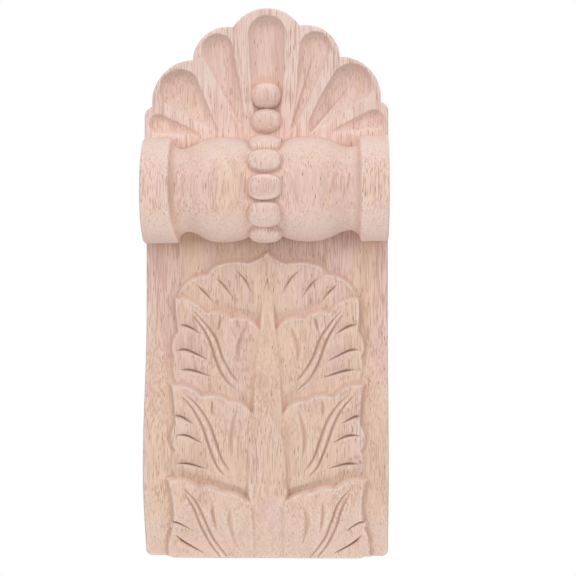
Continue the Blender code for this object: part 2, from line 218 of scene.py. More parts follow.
# %% The roll
COLLAR_RADIUS = 23.8
COLLAR_EDGE_X = 42.3
COLLAR_ROUNDING = 1.7
COVE_X = 37.9
COVE_RADIUS = 18.7
WAIST_RADIUS = 20.4
BULGE_X = 19.5
BULGE_RADIUS = 23.7
ROLL_PROFILE = (
    (0.0, WAIST_RADIUS), (4.0, 20.5), (7.4, 21.2), (9.4, 22.1), (12.0, 22.9), (15.0, 23.4),
    (BULGE_X, BULGE_RADIUS), (24.0, 23.3), (26.5, 22.7), (29.0, 21.9), (31.4, 20.8),
    (33.8, 19.6), (36.2, 18.85), (COVE_X, COVE_RADIUS),
)
ROLL_TILT = 0.0095  # rise per unit of x
COLLAR_SLANT = 3.0  # how far the left collar's edge wanders inwards at the underside
COLLAR_LAND = 0.3  # the rounding of the collar's edge starts this far outside it


def roll_radius(x, angle):
    """Radius of the roll at each distance from the middle, for an angle up from its front."""
    under = ease(np.clip(-angle / (np.pi / 2), 0, 1))
    slant = np.where(x < 0, COLLAR_SLANT * under, 0)
    x = np.abs(x)
    edge_x = x + slant * ease((x - BULGE_X) / (COVE_X - BULGE_X))
    profile_x, profile_radius = smooth_line(ROLL_PROFILE, steps=12).T
    turned = np.interp(edge_x, profile_x, profile_radius)
    climb = np.clip((edge_x - COVE_X) / (COLLAR_EDGE_X - COVE_X), 0, 1)
    cove = COVE_RADIUS + (COLLAR_RADIUS - COVE_RADIUS) * (1 - np.sqrt(1 - climb ** 2))
    collar = COLLAR_RADIUS - round_over(edge_x - COLLAR_EDGE_X + COLLAR_LAND, COLLAR_ROUNDING)
    cove_and_collar = np.where(edge_x > COLLAR_EDGE_X, collar, np.minimum(cove, collar))
    return np.where(edge_x < COVE_X, turned, cove_and_collar)


# %% [markdown]
# The shell
#
# The shell's edge has seven lobes, and inside each lobe a flute is hollowed out with a round
# gouge: a point at the roll, wider and deeper upwards, and a round end just inside the rim.
# The flutes could be cut out with Booleans, one cutter each, but a rule for their depth gives
# the soft gouged bottom directly. The whole shell leans a degree to the left on the block, as a
# hand-fed carving does, and a flute can taper in its own way on each side.

# %% The shell
SHELL_TILT = 0.019  # rise per unit of x
# Each notch on the right: x, z and the rise of the arc from it to the next.
SHELL_NOTCHES = (
    (15.0, 116.3, 5.2),
    (33.2, 101.9, 6.1),
    (51.5, 81.2, 1.0),
)
SHELL_TOP_RISE = 8.2
SHELL_SHOULDER_Z = 76.5
LEAN_MARGIN = 1.0  # the outline leans from this far below the shoulders upwards
BOTTOM_CORNER = 3.0
BORDER_X = 43.5  # the bottom edge is a little higher under the plain borders
BORDER_STEP = 0.9
RIM_ROUNDING = 0.9

FLUTE_FOOT_Z = 67.9
FLUTE_HOLLOW = 0.57  # depth over half width
FLUTE_SOFTNESS = 0.75  # power of the cross-section; a half is a round arch, one a parabola
FLUTE_FOOT_SHARE = 1e-4  # keeps a flute from having no width at all at its foot
# Each flute: x of its foot, then x, z and radius of its round end, then the taper of each side.
FLUTES = (
    (-29.4, -48.6, 73.3, 4.5, 0.8, 0.7),
    (-21.0, -39.0, 88.6, 9.2, 0.95, 0.95),
    (-8.8, -22.1, 106.4, 7.1, 0.8, 0.8),
    (0.3, 0.3, 113.0, 8.4, 0.22, 0.22),
    (10.3, 22.1, 106.4, 7.1, 1.4, 0.6),
    (20.2, 38.4, 89.3, 9.4, 0.4, 0.95),
    (29.4, 48.6, 73.3, 4.5, 0.7, 0.8),
)


def block_outline():
    """Front outline of the block: lobes, straight sides and small round bottom corners."""
    corner_rise = BOTTOM_CORNER * (1 - math.sqrt(0.5))
    right = list(SHELL_NOTCHES) + [
        (HALF_WIDTH, SHELL_SHOULDER_Z, 0.0),
        (HALF_WIDTH, BOTTOM_Z + BORDER_STEP + BOTTOM_CORNER, corner_rise),
        (HALF_WIDTH - BOTTOM_CORNER, BOTTOM_Z + BORDER_STEP, 0.0),
        (BORDER_X + BORDER_STEP, BOTTOM_Z + BORDER_STEP, 0.0),
        (BORDER_X - BORDER_STEP, BOTTOM_Z, 0.0),
    ]
    left = []
    for i in range(len(right) - 1, -1, -1):
        x, z, _ = right[i]
        left.append((-x, z, right[i - 1][2] if i > 0 else SHELL_TOP_RISE))
    points = scalloped(right + left, steps=14)
    leaning = points[:, 1] > SHELL_SHOULDER_Z - LEAN_MARGIN
    lean = np.where(leaning, SHELL_TILT * points[:, 0], 0)
    points[:, 1] = np.minimum(points[:, 1] + lean, TOP_Z)
    return points


def flute_depth(x, z, flute):
    """How deep one flute cuts into the shell at each point: a round gouge's cut."""
    foot_x, end_x, end_z, end_radius, left_taper, right_taper = flute
    run_x = end_x - foot_x
    run_z = end_z - FLUTE_FOOT_Z
    length = math.hypot(run_x, run_z)
    along = ((x - foot_x) * run_x + (z - FLUTE_FOOT_Z) * run_z) / length ** 2
    aside = ((x - foot_x) * run_z - (z - FLUTE_FOOT_Z) * run_x) / length
    taper = np.where(aside < 0, left_taper, right_taper)
    half = end_radius * np.clip(along, FLUTE_FOOT_SHARE, 1) ** taper
    past_end = np.clip(along - 1, 0, None) * length
    across = np.clip(np.hypot(aside, past_end) / half, 0, 1)
    return np.where(along > 0, half * FLUTE_HOLLOW * (1 - across ** 2) ** FLUTE_SOFTNESS, 0)


def flutes_depth(x, z):
    """How deep the seven flutes cut together."""
    deepest = np.zeros(x.shape)
    for flute in FLUTES:
        deepest = np.maximum(deepest, flute_depth(x, z, flute))
    return deepest


# %% [markdown]
# The beads
#
# Five oval beads run round the waist of the roll and two rounder ones stand on the shell above
# them. A bead is a squashed ball, a little square at the corners where the gouge went round it,
# so its outline uses a power above two.

# %% The beads
BEAD_RING_RADIUS = 22.0
# Each bead: degrees up from the front of the roll, and half its height.
BEADS = ((65.0, 5.8), (32.5, 5.8), (0.0, 5.7), (-33.5, 6.25), (-68.5, 6.2))
BEAD_HALF_WIDTH = 7.4
BEAD_THICKNESS = 3.3
BEAD_SQUARENESS = 2.4
# Each bead on the shell: x and z of its middle, half its width and half its height.
SHELL_BEADS = (
    (0.0, 85.0, 6.7, 5.9),
    (0.0, 73.6, 6.8, 5.6),
)
SHELL_BEAD_SQUARENESS = 2.2
SHELL_BEAD_THICKNESS = 5.0
SHELL_BEAD_SINK = 0.6
BEAD_DOME = 2.2  # power of a bead's cross-section; two is a true ellipse
FAR_BELOW = -1e3


def bead_height(across, up, half_width, half_height, power, thickness):
    """Height of a bead over its own middle plane; far below zero outside it."""
    reach = (np.abs(across / half_width) ** power + np.abs(up / half_height) ** power) ** (1 / power)
    dome = thickness * np.sqrt(np.clip(1 - reach ** BEAD_DOME, 0, 1))
    return np.where(reach < 1, dome, FAR_BELOW)


def roll_beads_radius(x, angle):
    """Distance from the roll's axis of the beads' surface."""
    outer = np.full(x.shape, FAR_BELOW)
    for degrees, half_height in BEADS:
        up = (angle - math.radians(degrees)) * BEAD_RING_RADIUS
        height = bead_height(x, up, BEAD_HALF_WIDTH, half_height, BEAD_SQUARENESS, BEAD_THICKNESS)
        outer = np.maximum(outer, BEAD_RING_RADIUS + height)
    return outer


def shell_depth(x, z):
    """Depth of the shell's surface: the flat slab less the flutes, with two beads on it."""
    upright = z - SHELL_TILT * x
    depth = SHELL_DEPTH - flutes_depth(x, upright)
    for bead_x, bead_z, half_width, half_height in SHELL_BEADS:
        height = bead_height(x - bead_x, upright - bead_z, half_width, half_height,
                             SHELL_BEAD_SQUARENESS, SHELL_BEAD_THICKNESS)
        depth = np.maximum(depth, SHELL_DEPTH - SHELL_BEAD_SINK + height)
    return depth


# %% [markdown]
# The leaves
#
# Each leaf is carved as a low hill: tallest along its scalloped upper edge, where it stands
# over the row above, falling away to its base, and crowned along its midrib. Left and right are
# mirror images, so only the right-hand half is written down. A midrib is the strip left
# standing between two grooves, and short pointed cuts part the lobes, each in a soft dip. Softer
# furrows, each with its own half width, run down from the notches of the upper edge.

# %% The leaves
TOP_LEAF = {
    "outline": (
        (-9.0, 10.4, -0.7), (0.0, 16.4, -0.7), (9.0, 10.4, 0.9), (22.2, 9.6, 0.9),
        (27.7, 5.1, 2.8), (41.8, -5.6, 0.0), (38.0, -14.0, 0.0), (0.0, -26.0, 0.0),
        (-9.0, -20.0, 0.0),
    ),
    "top_line": ((0.0, 16.4), (9.0, 11.0), (22.2, 10.5), (32.0, 5.5), (42.0, -4.0)),
    "midrib": ((0.0, 14.0), (0.0, -26.0)),
    "tall": 2.3,
    "low": 0.6,
    "pitch": 30.0,
    "fall": 0.5,
    "cut_strength": 0.7,
    "grooves": (),
    "cuts": (
        ((14.8, 6.4), (11.2, 3.1), (8.9, -0.2), (6.9, -4.9)),
        ((23.4, 2.9), (19.5, -0.8), (15.5, -6.5)),
        ((32.2, -0.2), (28.5, -3.5), (24.3, -8.5)),
    ),
    "furrows": (),
}
LEAF_ROWS = (
    {
        "outline": (
            (3.0, -20.5, 2.6), (16.3, -14.7, 1.7), (27.4, -12.2, 2.2), (42.6, -5.9, 0.4),
            (41.9, -21.5, 1.9), (43.6, -33.6, 1.0), (42.2, -44.0, 0.0), (38.0, -54.0, 0.0),
            (3.0, -62.0, 0.0),
        ),
        "top_line": ((3.0, -20.0), (11.5, -14.5), (21.5, -11.8), (34.5, -7.5), (42.6, -5.9)),
        "midrib": ((40.5, -7.5), (34.2, -13.2), (29.4, -18.5), (25.0, -25.5), (21.7, -35.0),
                   (13.4, -46.2)),
        "tall": 3.2,
        "low": 0.9,
        "pitch": 38.0,
        "fall": 0.9,
        "cut_strength": 1.0,
        "grooves": (
            ((34.4, -13.8), (30.2, -19.3), (26.3, -26.4), (23.1, -36.0), (19.0, -43.2),
             (13.8, -48.0)),
            ((33.6, -12.4), (28.6, -17.6), (23.7, -24.5), (20.3, -33.9), (15.6, -41.4),
             (13.0, -44.3)),
        ),
        "cuts": (
            ((40.2, -18.6), (35.9, -19.7), (30.5, -22.8)),
            ((41.6, -30.1), (36.5, -30.3), (27.0, -34.7)),
            ((39.6, -38.7), (34.1, -39.2), (25.2, -42.1)),
        ),
        "furrows": (
            (0.8, ((21.2, -14.9), (22.7, -21.4))),
            (1.3, ((10.4, -19.6), (13.4, -28.3), (13.9, -35.4))),
        ),
    },
    {
        "outline": (
            (5.6, -58.9, 2.4), (16.9, -51.9, 1.5), (29.4, -49.5, 2.4), (44.4, -44.7, -0.5),
            (42.3, -62.7, 2.0), (42.6, -74.4, 1.4), (42.7, -85.5, 0.0), (38.0, -95.0, 0.0),
            (5.6, -101.0, 0.0),
        ),
        "top_line": ((5.6, -58.0), (12.3, -52.2), (24.0, -48.5), (38.4, -44.6), (44.4, -44.7)),
        "midrib": ((42.5, -45.8), (38.2, -49.2), (32.6, -54.8), (27.9, -62.5), (24.9, -70.8),
                   (21.7, -79.2), (17.7, -84.4)),
        "tall": 3.3,
        "low": 1.0,
        "pitch": 40.0,
        "fall": 0.9,
        "cut_strength": 1.0,
        "grooves": (
            ((38.8, -49.9), (33.6, -55.5), (29.3, -63.4), (26.3, -72.0), (22.8, -80.7),
             (18.8, -85.4)),
            ((37.8, -48.5), (31.6, -54.1), (26.5, -61.5), (23.4, -69.7), (20.5, -77.8),
             (16.6, -83.3)),
        ),
        "cuts": (
            ((42.0, -58.5), (38.0, -59.6), (33.0, -62.5)),
            ((40.8, -67.6), (35.8, -67.8), (28.9, -71.2)),
            ((40.6, -80.5), (35.3, -80.5), (27.4, -82.3)),
        ),
        "furrows": (
            (0.8, ((24.6, -52.4), (24.7, -59.2))),
            (1.3, ((13.6, -56.2), (16.4, -67.7), (16.0, -76.6))),
        ),
    },
    {
        "outline": (
            (6.0, -98.0, 1.6), (19.9, -91.8, 1.4), (29.8, -90.4, 1.9), (45.5, -87.1, -1.0),
            (43.4, -105.8, 1.0), (44.4, -110.0, 0.3), (46.4, -116.0, 0.5), (46.8, -134.0, 0.0),
            (6.0, -134.0, 0.0),
        ),
        "top_line": ((8.0, -95.2), (14.2, -92.2), (24.7, -89.4), (37.2, -86.4), (45.5, -87.1)),
        "midrib": ((43.0, -88.4), (37.3, -91.9), (32.4, -98.9), (29.2, -107.8), (25.4, -116.8),
                   (20.5, -126.0)),
        "tall": 3.2,
        "low": 2.6,
        "pitch": 30.0,
        "fall": 0.35,
        "cut_strength": 1.0,
        "grooves": (
            ((37.2, -92.8), (33.1, -100.0), (30.1, -109.2), (25.9, -118.4), (20.6, -126.0)),
            ((37.3, -91.2), (31.7, -97.7), (28.2, -106.4), (24.9, -115.2), (17.5, -126.0)),
        ),
        "cuts": (
            ((47.0, -106.0), (43.4, -106.8), (40.3, -107.5), (34.8, -110.6)),
            ((42.4, -112.5), (38.1, -116.8), (29.0, -122.3)),
        ),
        "furrows": (
            (1.0, ((24.6, -96.4), (24.5, -103.3), (23.2, -111.2))),
            (1.3, ((16.6, -99.6), (17.3, -106.4), (15.2, -118.0))),
        ),
    },
)
EDGE_WIDTH = 1.45  # how far inside its outline a leaf reaches its full height
LIP_RISE = 0.5
LIP_SPREAD = 1.05
GROOVE_HALF_WIDTH = 0.78
GROOVE_DEPTH = 1.5
GROOVE_BLUNTNESS = 0.3
CUT_HALF_WIDTH = 0.68
CUT_DEPTH = 1.9
CUT_BLUNTNESS = 0.5
FURROW_DEPTH = 1.5
GOUGE_SECTION = 0.9  # power of a cut's cross-section; one is a plain V
GOUGE_LEAST_WIDTH = 0.05  # share of its width that a cut keeps at its points
LOBE_HOLLOW = 1.1  # a soft dip round each cut sets the lobes apart
LOBE_SPREAD = 2.3
HOLLOW_START = 0.12  # the dip is this far along its swell where the cut starts
HOLLOW_END = 0.88
# Painted shade in the grooves and furrows, as shares of the cuts' painted shade.
GROOVE_SHADE = 0.6  # how dark a groove is, over a cut
FURROW_SHADE = 0.42
RIB_RISE = 0.3
RIB_SPREAD = 1.2
CROWN_REACH = 16.0
CROWN_LIMIT = 1.2  # the fall from the midrib stops at this many reaches
LEAF_SAG = 2.2
DITCH_DEPTH = 0.5
STEM_SIDE_DITCH = 0.7  # how much deeper the ditch gets beside the stem
STEM_SIDE_REACH = 20.0
DITCH_SPREAD = 2.6


def gouge(x, z, points, half_width, bluntness):
    """Share of its full depth that a gouged line, pointed at both ends, has at each point."""
    distance, along = line_distance(x, z, smooth_line(points))
    swell = np.clip(np.sin(np.pi * along), 0, 1) ** bluntness
    half = half_width * np.clip(swell, GOUGE_LEAST_WIDTH, 1)
    return swell * np.clip(1 - distance / half, 0, 1) ** GOUGE_SECTION


def leaf_height(x, z, leaf):
    """Height of one right-hand leaf over the panel, and how much painted shade its cuts get."""
    line_x, line_z = np.array(leaf["top_line"]).T
    below_top = np.clip((np.interp(x, line_x, line_z) - z) / leaf["pitch"], 0, 1)
    height = leaf["tall"] + (leaf["low"] - leaf["tall"]) * below_top ** LEAF_SAG
    rib_distance, _ = line_distance(x, z, smooth_line(leaf["midrib"]))
    height = height - leaf["fall"] * np.clip(rib_distance / CROWN_REACH, 0, CROWN_LIMIT) ** 2
    cut_shade = np.zeros(x.shape)
    if leaf["grooves"]:
        height = height + RIB_RISE * np.exp(-(rib_distance / RIB_SPREAD) ** 2)
    for groove in leaf["grooves"]:
        share = gouge(x, z, groove, GROOVE_HALF_WIDTH, GROOVE_BLUNTNESS)
        height = height - GROOVE_DEPTH * share
        cut_shade = np.maximum(cut_shade, GROOVE_SHADE * share)
    for cut in leaf["cuts"]:
        distance, along = line_distance(x, z, smooth_line(cut))
        swell = np.sin(np.pi * np.clip(along, HOLLOW_START, HOLLOW_END))
        hollow = np.exp(-(distance / LOBE_SPREAD) ** 2) * swell
        share = leaf["cut_strength"] * gouge(x, z, cut, CUT_HALF_WIDTH, CUT_BLUNTNESS)
        height = height - LOBE_HOLLOW * hollow - CUT_DEPTH * share
        cut_shade = np.maximum(cut_shade, share)
    for half_width, furrow in leaf["furrows"]:
        share = gouge(x, z, furrow, half_width, CUT_BLUNTNESS)
        height = height - FURROW_DEPTH * share
        cut_shade = np.maximum(cut_shade, FURROW_SHADE * share)
    return height, cut_shade


# %% [markdown]
# The stem
#
# The stem starts as a point inside the top leaf and widens down to the bottom, where it melts
# into the lowest pair of leaves. Its cross-section is a gentle arch with a low wall and a small
# ditch each side.

# %% The stem
STEM_POINT_Z = 3.2
STEM_ZS = (-130.0, -95.0, -58.1, -34.2, -5.8, STEM_POINT_Z)
STEM_HALF_WIDTHS = (9.8, 9.3, 7.2, 5.6, 2.5, 0.2)
STEM_TALL = 2.9
STEM_FOOT = 2.7
STEM_ARCH = 0.8
STEM_EDGE = 0.9
STEM_SOFT_EDGE = 6.0
STEM_MELT_TOP = -92.0
STEM_MELT_BOTTOM = -104.0
STEM_TIP_LENGTH = 36.0
STEM_TIP_START = 0.14
STEM_DITCH = 0.7
STEM_DITCH_SPREAD = 1.5
STEM_DITCH_RUN_IN = 6.0  # the ditch deepens over this length below the stem's point
STEM_ARCH_FULL = 7.0  # half width at which the stem's arch is at its full height


def add_stem(x, z, surface):
    """The carved surface with the stem laid over it."""
    half = np.interp(z, STEM_ZS, STEM_HALF_WIDTHS)
    inside = np.where(z < STEM_POINT_Z, half - np.abs(x), -np.hypot(x, z - STEM_POINT_Z))
    melt = ease((STEM_MELT_TOP - z) / (STEM_MELT_TOP - STEM_MELT_BOTTOM))
    tip = ease(STEM_TIP_START + (STEM_POINT_Z - z) / STEM_TIP_LENGTH)
    flatter = np.clip(half / STEM_ARCH_FULL, 0, 1)
    arch = STEM_ARCH * (1 - melt) * flatter * np.clip(x / half, -1, 1) ** 2
    height = (STEM_TALL + (STEM_FOOT - STEM_TALL) * melt) * tip - arch
    width = STEM_EDGE + (STEM_SOFT_EDGE - STEM_EDGE) * melt
    edge = np.sin(np.pi / 2 * np.clip(inside / width, 0, 1))
    ditch = STEM_DITCH * (1 - melt) * np.exp(-(np.clip(-inside, 0, None) / STEM_DITCH_SPREAD) ** 2)
    run_in = np.clip(STEM_POINT_Z - z, 0, STEM_DITCH_RUN_IN) / STEM_DITCH_RUN_IN
    ground = surface - ditch * ease(run_in)
    return ground + (height - ground) * edge


# %% [markdown]
# The whole relief
#
# A carver sets in the top leaf first and then each lower row in front of it, cutting the wood
# round every outline down before shaping the leaf inside it. The same order here: each leaf
# first presses a ditch into what is there and then rises from it.

# %% The whole relief
PATTERN_ZS = (-110.0, -65.0, -25.0, 5.0)
PATTERN_SHIFTS = (0.9, 0.85, 0.4, 0.2)  # the carving drifts to the right as it goes down
SIDE_WANDER = 0.2  # how far the hand strays sideways, and over what height
SIDE_WANDER_LENGTH = 7.3
UP_WANDER = 0.25  # how far it strays up and down, and over what width and height
UP_WANDER_WIDTH = 6.1
UP_WANDER_LENGTH = 11.0


def panel_relief(x, z):
    """Height of all the leaf carving over the plain panel, and how much painted shade its cuts get.
    """
    across = np.abs(x - np.interp(z, PATTERN_ZS, PATTERN_SHIFTS))
    wander_x = SIDE_WANDER * np.sin(z / SIDE_WANDER_LENGTH + np.sign(x))
    wander_z = UP_WANDER * np.sin(x / UP_WANDER_WIDTH + z / UP_WANDER_LENGTH)
    leaf_x = across + wander_x
    leaf_z = z + wander_z
    surface = np.zeros(x.shape)
    cut_shade = np.zeros(x.shape)
    for leaf in (TOP_LEAF, *LEAF_ROWS):
        inside = inside_distance(leaf_x, leaf_z, scalloped(leaf["outline"]))
        height, cuts = leaf_height(leaf_x, leaf_z, leaf)
        ditch_depth = DITCH_DEPTH + STEM_SIDE_DITCH * np.exp(-(across / STEM_SIDE_REACH) ** 2)
        ditch = ditch_depth * np.exp(-(np.clip(-inside, 0, None) / DITCH_SPREAD) ** 2)
        lip = LIP_RISE * np.exp(-((inside - EDGE_WIDTH) / LIP_SPREAD) ** 2)
        climb = np.clip(inside / EDGE_WIDTH, 0, 1)
        edge = (np.sin(np.pi / 2 * climb) + ease(climb)) / 2
        ground = surface - ditch
        surface = ground + (height + lip - ground) * edge
        cut_shade = np.where(inside > 0, cuts * edge, cut_shade)
    return add_stem(across, z, surface), cut_shade


# %% [markdown]
# Carving the front
#
# The front is one fine grid. Its columns stand side by side across the block, and its rows
# climb the panel, go round the roll and climb the shell, so the sharp inner corners where the
# roll meets the panel and the shell fall exactly on a row. Every vertex is moved straight to
# its carved place. That is a job for array code, because no brush or operator places four
# hundred thousand points by rule, while the start, the sanding and the trimming are ordinary
# tools.

# %% Carving the front
COLUMNS = 400
PANEL_ROWS = 560
ROLL_ROWS = 300
SHELL_ROWS = 205
ROWS = PANEL_ROWS + ROLL_ROWS + SHELL_ROWS
JOIN_ANGLE = math.radians(-75)  # where the roll's underside is measured for its join


def deselect_all():
    """Drop every selection, because the frame comes in selected."""
    for obj in bpy.context.selected_objects:
        obj.select_set(False)


def place(x, depth, z):
    """Vertex places from a carver's measures."""
    return np.stack([x, -np.minimum(depth, MOST_DEPTH), z], axis=1)


def lowest_roll_angle(x):
    """Angle at which the roll's underside runs into the panel's neck."""
    return -np.arccos((NECK_DEPTH - ROLL_DEPTH) / roll_radius(x, JOIN_ANGLE))


def panel_places(x, share, outline):
    """The panel from below the block's foot up to the roll."""
    join_z = ROLL_Z + ROLL_TILT * x + roll_radius(x, JOIN_ANGLE) * np.sin(lowest_roll_angle(x))
    z = BOTTOM_Z - SPILL + (join_z - BOTTOM_Z + SPILL) * share
    relief, _ = panel_relief(x, z)
    rim = round_over(inside_distance(x, z, outline), RIM_ROUNDING)
    return place(x, face_depth(z) + relief - rim, z)


def roll_places(x, share):
    """The roll and its beads, from the underside round to the top."""
    lowest = lowest_roll_angle(x)
    angle = lowest + (np.pi / 2 - lowest) * share
    surface = np.maximum(roll_radius(x, angle), roll_beads_radius(x, angle))
    surface = surface - round_over(HALF_WIDTH - np.abs(x), RIM_ROUNDING)
    z = ROLL_Z + ROLL_TILT * x + surface * np.sin(angle)
    return place(x, ROLL_DEPTH + surface * np.cos(angle), z)


def shell_places(x, share, outline):
    """The shell from the roll's top to above the block's top."""
    foot_z = ROLL_Z + ROLL_TILT * x + roll_radius(x, math.pi / 2)
    z = foot_z + (TOP_Z + SPILL - foot_z) * share
    rim = round_over(inside_distance(x, z, outline), RIM_ROUNDING)
    return place(x, shell_depth(x, z) - rim, z)


def front_places(across, up, outline):
    """Carved place of each grid vertex, from its share across and up the grid."""
    x = (across - 0.5) * 2 * (HALF_WIDTH + SPILL)
    row = np.rint(up * ROWS)
    on_panel = row <= PANEL_ROWS
    on_shell = row > PANEL_ROWS + ROLL_ROWS
    on_roll = ~on_panel & ~on_shell
    places = np.zeros((len(x), 3))
    places[on_panel] = panel_places(x[on_panel], row[on_panel] / PANEL_ROWS, outline)
    roll_share = (row[on_roll] - PANEL_ROWS) / ROLL_ROWS
    places[on_roll] = roll_places(x[on_roll], roll_share)
    shell_share = (row[on_shell] - PANEL_ROWS - ROLL_ROWS) / SHELL_ROWS
    places[on_shell] = shell_places(x[on_shell], shell_share, outline)
    return places * MM


deselect_all()
bpy.ops.mesh.primitive_grid_add(x_subdivisions=COLUMNS, y_subdivisions=ROWS, size=1)
corbel = bpy.context.active_object
corbel.name = "carved_wood"
corbel.data.name = "carved_wood"
grid = np.zeros(len(corbel.data.vertices) * 3, np.float32)
corbel.data.vertices.foreach_get("co", grid)
grid = grid.reshape(-1, 3).astype(float)
outline = block_outline()
places = front_places(grid[:, 0] + 0.5, grid[:, 1] + 0.5, outline)
corbel.data.vertices.foreach_set("co", places.astype(np.float32).ravel())
corbel.data.update()
print("carved grid:", len(corbel.data.vertices), "vertices")

# %% [markdown]
# Sanding
#
# A light sanding takes the bite off every sharp line that the rules left. The Smooth modifier
# does the same to a mesh: each pass moves a vertex part of the way to the middle of its
# neighbours, and two passes round the edges without washing out the cuts.

# %% Sanding
SANDING_PASSES = 2

sanding = corbel.modifiers.new("sanding", "SMOOTH")
sanding.factor = 0.5
sanding.iterations = SANDING_PASSES
bpy.ops.object.modifier_apply(modifier=sanding.name)
print("sanded", SANDING_PASSES, "times")

# %% [markdown]
# Painted highlight on ridges, painted shade in hollows
#
# Every ridge is given a painted highlight and every hollow painted shade, where light would
# catch the ridge and shade would fall in the hollow. Both are read off the carved sheet: when
# all its vertices drift towards their neighbours, those on a ridge sink and those in a hollow
# rise, and how far they move along the normal tells which is which. The sheet is used because
# its vertices are evenly spaced.

# %% Painted highlight on ridges, painted shade in hollows
CURVATURE_STEPS = 40


def relaxed(sheet, steps):
    """The sheet after each vertex has moved halfway to the middle of its four neighbours."""
    for _ in range(steps):
        padded = np.pad(sheet, ((1, 1), (1, 1), (0, 0)), mode="edge")
        middle = (padded[:-2, 1:-1] + padded[2:, 1:-1] + padded[1:-1, :-2] + padded[1:-1, 2:]) / 4
        sheet = (sheet + middle) / 2
    return sheet


sanded = np.zeros(len(corbel.data.vertices) * 3, np.float32)
corbel.data.vertices.foreach_get("co", sanded)
sanded = sanded.reshape(ROWS + 1, COLUMNS + 1, 3).astype(float) / MM
normals = np.zeros(len(corbel.data.vertices) * 3, np.float32)
corbel.data.vertex_normals.foreach_get("vector", normals)
moved = relaxed(sanded, CURVATURE_STEPS) - sanded
hollows = (moved.reshape(-1, 3) * normals.reshape(-1, 3)).sum(axis=1)
attribute = corbel.data.attributes.new("hollows", "FLOAT", "POINT")
attribute.data.foreach_set("value", hollows.astype(np.float32))
print("hollows from", hollows.min().round(2), "to", hollows.max().round(2), "mm")

# %% [markdown]
# From a sheet to a block
#
# The carved sheet is given its back: its border is extruded and flattened behind the wall
# plane, and the hole is filled. A flat plate in the shape of the front outline then trims it
# with a Boolean, which leaves straight sides, crisp lobes and a flat back at the wall.

# %% From a sheet to a block
BACK_SPILL = 5.0
WELD_DISTANCE = 0.01


def close_behind(obj, y):
    """Extrude the border of an open sheet back to the given y and fill it."""
    bpy.ops.object.mode_set(mode="EDIT")
    bpy.ops.mesh.select_mode(type="EDGE")
    bpy.ops.mesh.select_all(action="DESELECT")
    bpy.ops.mesh.select_non_manifold()
    bpy.ops.mesh.extrude_edges_move(TRANSFORM_OT_translate={"value": (0, 0, 0)})
    edit = bmesh.from_edit_mesh(obj.data)
    for vertex in edit.verts:
        if vertex.select:
            vertex.co.y = y
    bmesh.update_edit_mesh(obj.data)
    bpy.ops.mesh.edge_face_add()
    bpy.ops.mesh.select_all(action="SELECT")
    bpy.ops.mesh.normals_make_consistent(inside=False)
    bpy.ops.object.mode_set(mode="OBJECT")


def outline_plate(points, front_y, back_y):
    """A closed plate with the outline's shape between two planes."""
    curve = bpy.data.curves.new("trim_plate", "CURVE")
    curve.dimensions = "2D"
    curve.fill_mode = "BOTH"
    curve.extrude = (back_y - front_y) / 2
    spline = curve.splines.new("POLY")
    spline.points.add(len(points) - 1)
    for point, (x, z) in zip(spline.points, points):
        point.co = (x * MM, z * MM, 0, 1)
    spline.use_cyclic_u = True
    plate = bpy.data.objects.new("trim_plate", curve)
    bpy.context.collection.objects.link(plate)
    deselect_all()
    plate.select_set(True)
    bpy.context.view_layer.objects.active = plate
    bpy.ops.object.convert(target="MESH")
    plate = bpy.context.active_object
    plate.rotation_euler = (math.pi / 2, 0, 0)
    plate.location = (0, (front_y + back_y) / 2, 0)
    bpy.ops.object.transform_apply(location=True, rotation=True, scale=True)
    bpy.ops.object.mode_set(mode="EDIT")
    bpy.ops.mesh.select_all(action="SELECT")
    bpy.ops.mesh.remove_doubles(threshold=WELD_DISTANCE * MM)
    bpy.ops.mesh.normals_make_consistent(inside=False)
    bpy.ops.object.mode_set(mode="OBJECT")
    return plate


close_behind(corbel, BACK_SPILL * MM)
plate = outline_plate(outline, -(MOST_DEPTH + SPILL) * MM, 0)
deselect_all()
corbel.select_set(True)
bpy.context.view_layer.objects.active = corbel
trim = corbel.modifiers.new("trim to the outline", "BOOLEAN")
trim.operation = "INTERSECT"
trim.solver = "MANIFOLD"
trim.object = plate
bpy.ops.object.modifier_apply(modifier=trim.name)
bpy.data.objects.remove(plate, do_unlink=True)
print("trimmed:", len(corbel.data.vertices), "vertices", len(corbel.data.polygons), "faces")

# %% [markdown]
# Fewer triangles where the wood is flat
#
# The trimmed block has far more triangles than it needs. The Decimate modifier merges the ones
# that lie nearly in one plane first, so the borders and the sides grow coarse and the cuts stay
# fine. Edges up to a set angle are then shaded smooth, and the sharp ones round the sides stay
# sharp.

# %% Fewer triangles where the wood is flat
MOST_TRIANGLES = 190000
SMOOTH_UP_TO = math.radians(62)

corbel.data.calc_loop_triangles()
triangles = len(corbel.data.loop_triangles)
thin = corbel.modifiers.new("thin out", "DECIMATE")
thin.ratio = min(1, MOST_TRIANGLES / triangles)
bpy.ops.object.modifier_apply(modifier=thin.name)
bpy.ops.object.shade_smooth_by_angle(angle=SMOOTH_UP_TO)
corbel.data.calc_loop_triangles()
print("from", triangles, "to", len(corbel.data.loop_triangles), "triangles")
kept_hollows = np.zeros(len(corbel.data.vertices), np.float32)
corbel.data.attributes["hollows"].data.foreach_get("value", kept_hollows)
print("hollows kept from", kept_hollows.min().round(2), "to", kept_hollows.max().round(2), "mm")

# %% [markdown]
# Painted shade in the cuts
#
# The narrow cuts and grooves get painted shade, darker than the wood round them, where shade
# falls in them. How strongly each vertex is shaded follows from the same rules that carved it,
# so it is worked out again on the finished mesh and kept as an attribute for the material.

# %% Painted shade in the cuts
WELL_SHADED_CUT = 0.3

